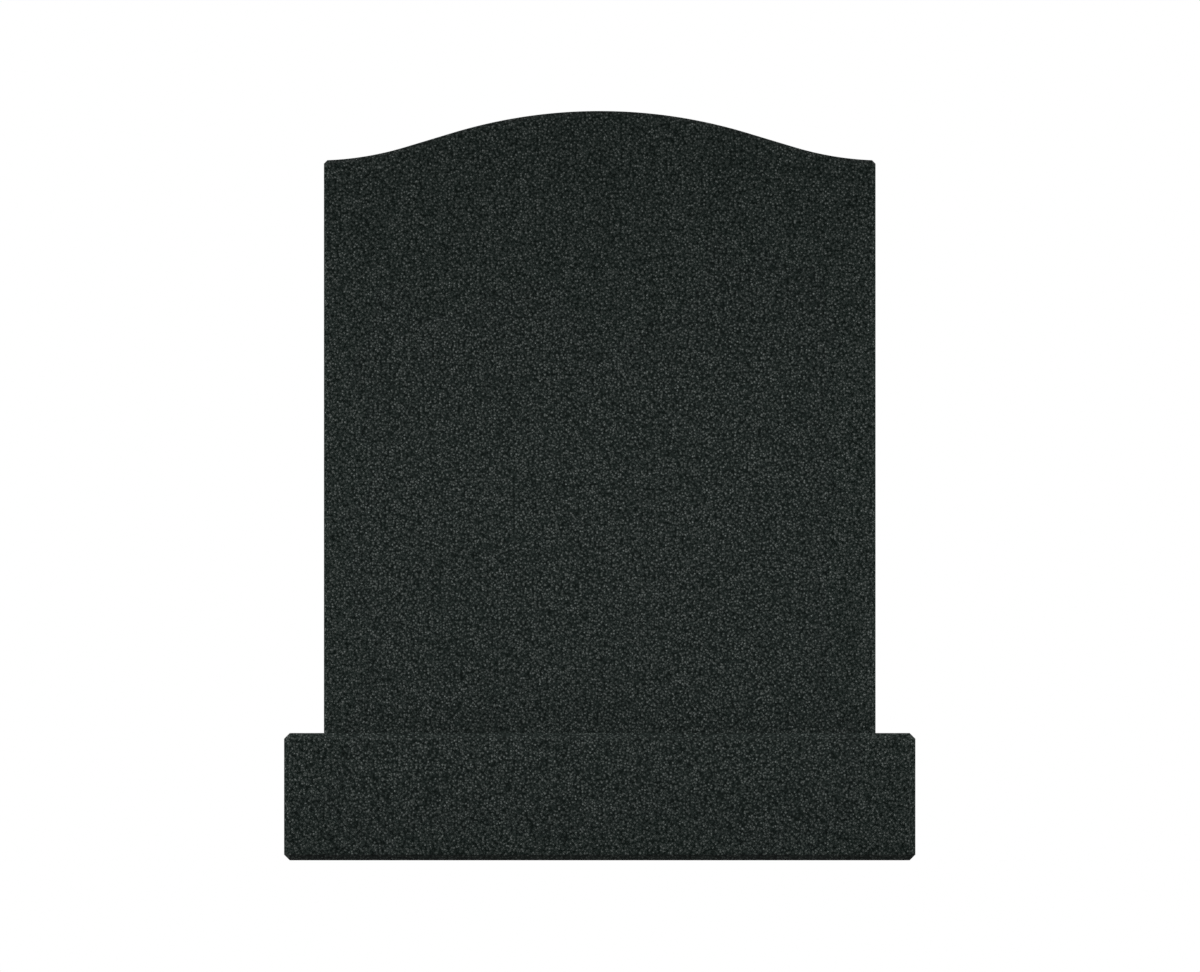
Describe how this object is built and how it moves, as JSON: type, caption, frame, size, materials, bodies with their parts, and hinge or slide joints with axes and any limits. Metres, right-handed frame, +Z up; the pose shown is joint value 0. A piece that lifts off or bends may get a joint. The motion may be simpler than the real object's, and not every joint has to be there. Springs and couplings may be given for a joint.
{
  "type": "headstone",
  "caption": "Plain upright headstone of dark granite: a flat tablet with a serpentine top and small arrises, standing on a wider rectangular base.",
  "frame": {"origin": "middle of the base's underside", "axes": "+Z up, +X to the right as seen from the front, and the tablet's front face looks along -Y"},
  "size_m": [0.61, 0.305, 0.724],
  "materials": {
    "base_granite": "gloss",
    "tablet_granite": "gloss"
  },
  "bodies": {
    "root": {"base": "base_granite", "tablet": "tablet_granite"}
  },
  "joints": []
}
